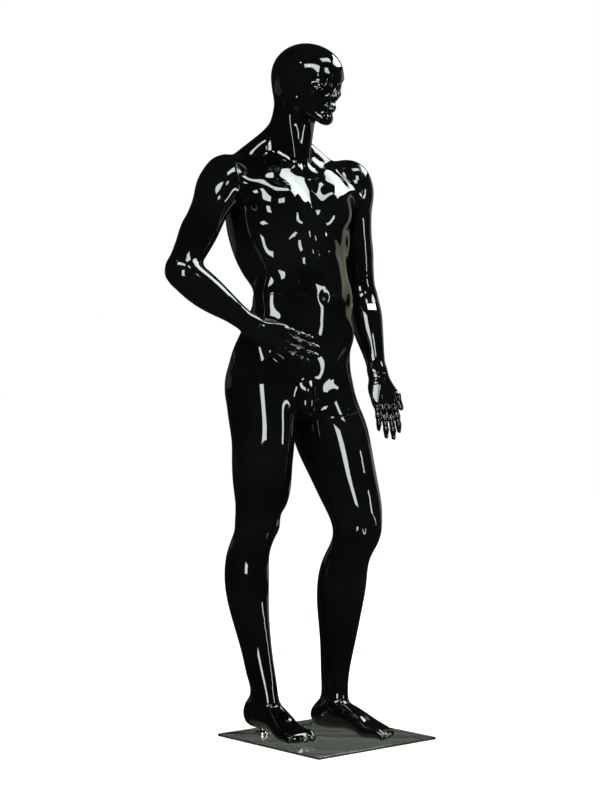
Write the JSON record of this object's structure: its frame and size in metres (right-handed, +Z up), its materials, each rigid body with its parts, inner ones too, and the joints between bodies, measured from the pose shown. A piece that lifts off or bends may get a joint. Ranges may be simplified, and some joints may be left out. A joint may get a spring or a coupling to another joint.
{
  "type": "full body mannequin",
  "caption": "Gloss black full body display mannequin, one hand on the hip, on a square glass base with a heel spigot; arms, hands, torso and one leg come off at bayonet fittings.",
  "frame": {"origin": "centre of the glass plate's underside", "axes": "+Z up; the figure faces -Y, its left hand side is +X; the plate's sides run along X and Y"},
  "size_m": [0.707, 0.4135, 1.79],
  "materials": {
    "black_gloss": "high gloss black lacquer on a glass fibre shell",
    "base_glass": "clear float glass with a slight green tint and polished edges",
    "chrome": "polished chrome plate",
    "steel": "plain turned and zinc plated steel",
    "black_rubber": "matt",
    "white_label": "blank paper label"
  },
  "bodies": {
    "base": {"glass_plate": "base_glass", "plate_bolt": "steel", "flange_gasket": "black_rubber", "spigot_flange": "chrome", "spigot_rod": "chrome"},
    "lower_body": {"hips_and_right_leg": "black_gloss", "foot_socket": "steel", "foot_grub_screw": "steel", "waist_socket_plate": "steel", "waist_socket_screws": "steel", "thigh_socket_plate": "steel", "thigh_socket_screws": "steel"},
    "left_leg": {"left_leg": "black_gloss", "thigh_stud_plate": "steel", "thigh_stud_screws": "steel"},
    "torso": {"head_and_torso": "black_gloss", "waist_stud_plate": "steel", "waist_stud_screws": "steel", "right_shoulder_socket_plate": "steel", "right_shoulder_socket_screws": "steel", "left_shoulder_socket_plate": "steel", "left_shoulder_socket_screws": "steel"},
    "right_arm": {"right_arm": "black_gloss", "right_shoulder_stud_plate": "steel", "right_shoulder_stud_screws": "steel", "right_wrist_socket": "steel"},
    "left_arm": {"left_arm": "black_gloss", "left_shoulder_stud_plate": "steel", "left_shoulder_stud_screws": "steel", "left_wrist_socket": "steel", "forearm_label": "white_label"},
    "right_hand": {"right_hand": "black_gloss", "right_wrist_stud": "steel"},
    "left_hand": {"left_hand": "black_gloss", "left_wrist_stud": "steel"}
  },
  "joints": [
    {"name": "figure_lift", "type": "slide", "parent": "base", "child": "lower_body", "axis": [0, 0, 1], "range_m": [0, 0.095]},
    {"name": "waist_turn", "type": "hinge", "parent": "lower_body", "child": "torso", "pos_m": [-0.05, 0.042, 1.137], "axis": [0, 0, 1], "range_deg": [0, 20]},
    {"name": "left_leg_turn", "type": "hinge", "parent": "lower_body", "child": "left_leg", "pos_m": [0.033, 0.038, 0.835], "axis": [-0.2, 0, 0.9798], "range_deg": [0, 20]},
    {"name": "right_shoulder_turn", "type": "hinge", "parent": "torso", "child": "right_arm", "pos_m": [-0.24137, 0.11793, 1.424], "axis": [-0.9914, 0.1305, 0], "range_deg": [0, 60]},
    {"name": "left_shoulder_turn", "type": "hinge", "parent": "torso", "child": "left_arm", "pos_m": [0.13737, 0.06807, 1.442], "axis": [-0.9914, 0.1305, 0], "range_deg": [-30, 60]},
    {"name": "right_wrist_turn", "type": "hinge", "parent": "right_arm", "child": "right_hand", "pos_m": [-0.234, 0.003, 1.05], "axis": [0.7593, -0.291, -0.5821], "range_deg": [0, 8]},
    {"name": "left_wrist_turn", "type": "hinge", "parent": "left_arm", "child": "left_hand", "pos_m": [0.177, -0.007, 0.934], "axis": [-0.1091, -0.4072, -0.9068], "range_deg": [-20, 20]}
  ]
}
